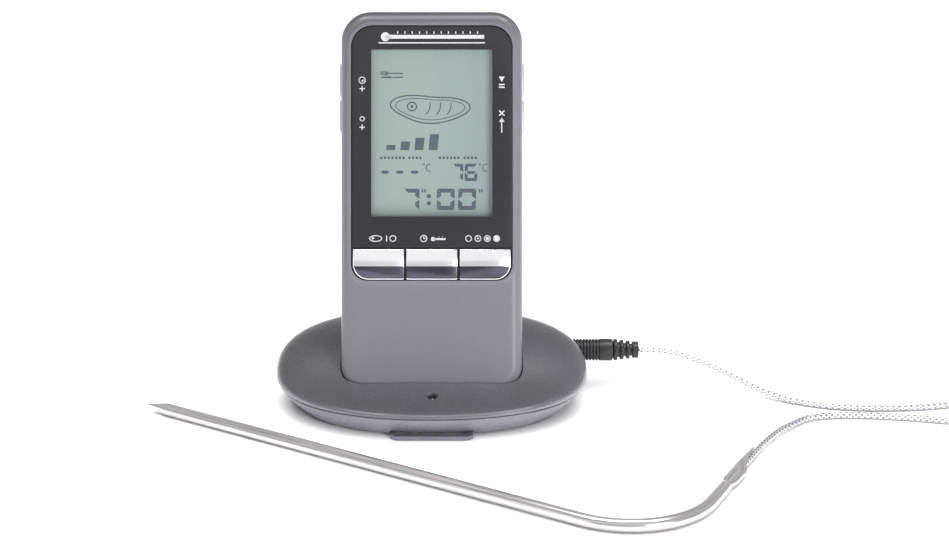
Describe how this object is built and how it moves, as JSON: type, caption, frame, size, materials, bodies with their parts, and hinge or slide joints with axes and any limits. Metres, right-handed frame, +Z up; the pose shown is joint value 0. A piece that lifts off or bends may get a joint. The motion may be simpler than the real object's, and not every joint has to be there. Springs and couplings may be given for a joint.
{
  "type": "meat thermometer",
  "caption": "Wireless meat thermometer: a display handset leaning in an oval transmitter base, with a bent steel probe on a braided lead plugged into the base.",
  "frame": {"origin": "on the surface the base stands on, under the middle of the base", "axes": "+X to the side that the probe's plug comes out of, -Y the front with the display, +Z up"},
  "size_m": [0.311, 0.1423, 0.1298],
  "materials": {
    "shell": "fine texture, mid grey",
    "panel": "black, satin gloss",
    "window": "clear lens",
    "lcd": "grey-green liquid crystal",
    "chrome_key": "chromed plastic",
    "inner_plastic": "off-white",
    "black_plastic": "black",
    "board": "green solder mask",
    "silicone": "translucent grey",
    "cell": "shrink-wrapped cell",
    "steel": "bright drawn steel",
    "contact": "nickel-plated",
    "copper": "enamelled copper wire",
    "plug_rubber": "moulded black",
    "led": "dark red lens",
    "braid": "stainless braid"
  },
  "bodies": {
    "base": {"base_top_shell": "shell", "base_bottom_shell": "shell", "base_circuit_board": "board", "jack_socket": "black_plastic", "status_led": "led", "base_battery_1": "cell", "base_battery_2": "cell", "base_contact_left": "contact", "base_contact_right": "contact", "transmitter_antenna": "copper", "base_screw_1": "steel", "base_screw_2": "steel", "base_screw_3": "steel", "base_screw_4": "steel", "plug_grip": "plug_rubber", "plug_pin": "contact", "plug_strain_relief": "plug_rubber", "cable_out": "braid", "cable_coil": "braid", "cable_back": "braid", "probe_tube": "steel", "temperature_sensor": "black_plastic"},
    "base_door": {"base_battery_door": "shell"},
    "loop": {"hanging_loop": "shell"},
    "handset": {"handset_front_shell": "shell", "handset_back_shell": "shell", "display_panel": "panel", "display_window": "window", "lcd_glass": "lcd", "lcd_holder": "inner_plastic", "lcd_connector": "silicone", "handset_circuit_board": "board", "key_mat": "silicone", "buzzer": "black_plastic", "handset_battery_1": "cell", "handset_battery_2": "cell", "handset_contact_top": "contact", "handset_contact_bottom": "contact", "receiver_antenna": "copper", "handset_screw_1": "steel", "handset_screw_2": "steel", "handset_screw_3": "steel", "handset_screw_4": "steel", "side_switch_left_upper": "inner_plastic", "side_switch_left_lower": "inner_plastic", "side_switch_right_upper": "inner_plastic", "side_switch_right_lower": "inner_plastic"},
    "handset_door": {"handset_battery_door": "shell"},
    "left_key": {"key_left": "chrome_key"},
    "middle_key": {"key_middle": "chrome_key"},
    "right_key": {"key_right": "chrome_key"},
    "upper_left_side_key": {"side_key_left_upper": "chrome_key"},
    "lower_left_side_key": {"side_key_left_lower": "chrome_key"},
    "upper_right_side_key": {"side_key_right_upper": "chrome_key"},
    "lower_right_side_key": {"side_key_right_lower": "chrome_key"}
  },
  "joints": [
    {"name": "handset_lift", "type": "slide", "parent": "base", "child": "handset", "axis": [0, 0.309, 0.9511], "range_m": [0, 0.03]},
    {"name": "base_door_slide", "type": "slide", "parent": "base", "child": "base_door", "axis": [0, 1, 0], "range_m": [0, 0.006]},
    {"name": "loop_pull", "type": "slide", "parent": "base", "child": "loop", "axis": [0, -1, 0], "range_m": [0, 0.008]},
    {"name": "handset_door_slide", "type": "slide", "parent": "handset", "child": "handset_door", "axis": [0, -0.309, -0.9511], "range_m": [0, 0.008]},
    {"name": "left_key_press", "type": "slide", "parent": "handset", "child": "left_key", "axis": [0, 0.9511, -0.309], "range_m": [0, 0.0008], "stiffness_N_per_m": 400, "springref_m": -0.0004},
    {"name": "middle_key_press", "type": "slide", "parent": "handset", "child": "middle_key", "axis": [0, 0.9511, -0.309], "range_m": [0, 0.0008], "stiffness_N_per_m": 400, "springref_m": -0.0004},
    {"name": "right_key_press", "type": "slide", "parent": "handset", "child": "right_key", "axis": [0, 0.9511, -0.309], "range_m": [0, 0.0008], "stiffness_N_per_m": 400, "springref_m": -0.0004},
    {"name": "upper_left_side_key_press", "type": "slide", "parent": "handset", "child": "upper_left_side_key", "axis": [1, 0, 0], "range_m": [0, 0.0006], "stiffness_N_per_m": 400, "springref_m": -0.0004},
    {"name": "lower_left_side_key_press", "type": "slide", "parent": "handset", "child": "lower_left_side_key", "axis": [1, 0, 0], "range_m": [0, 0.0006], "stiffness_N_per_m": 400, "springref_m": -0.0004},
    {"name": "upper_right_side_key_press", "type": "slide", "parent": "handset", "child": "upper_right_side_key", "axis": [-1, 0, 0], "range_m": [0, 0.0006], "stiffness_N_per_m": 400, "springref_m": -0.0004},
    {"name": "lower_right_side_key_press", "type": "slide", "parent": "handset", "child": "lower_right_side_key", "axis": [-1, 0, 0], "range_m": [0, 0.0006], "stiffness_N_per_m": 400, "springref_m": -0.0004}
  ]
}
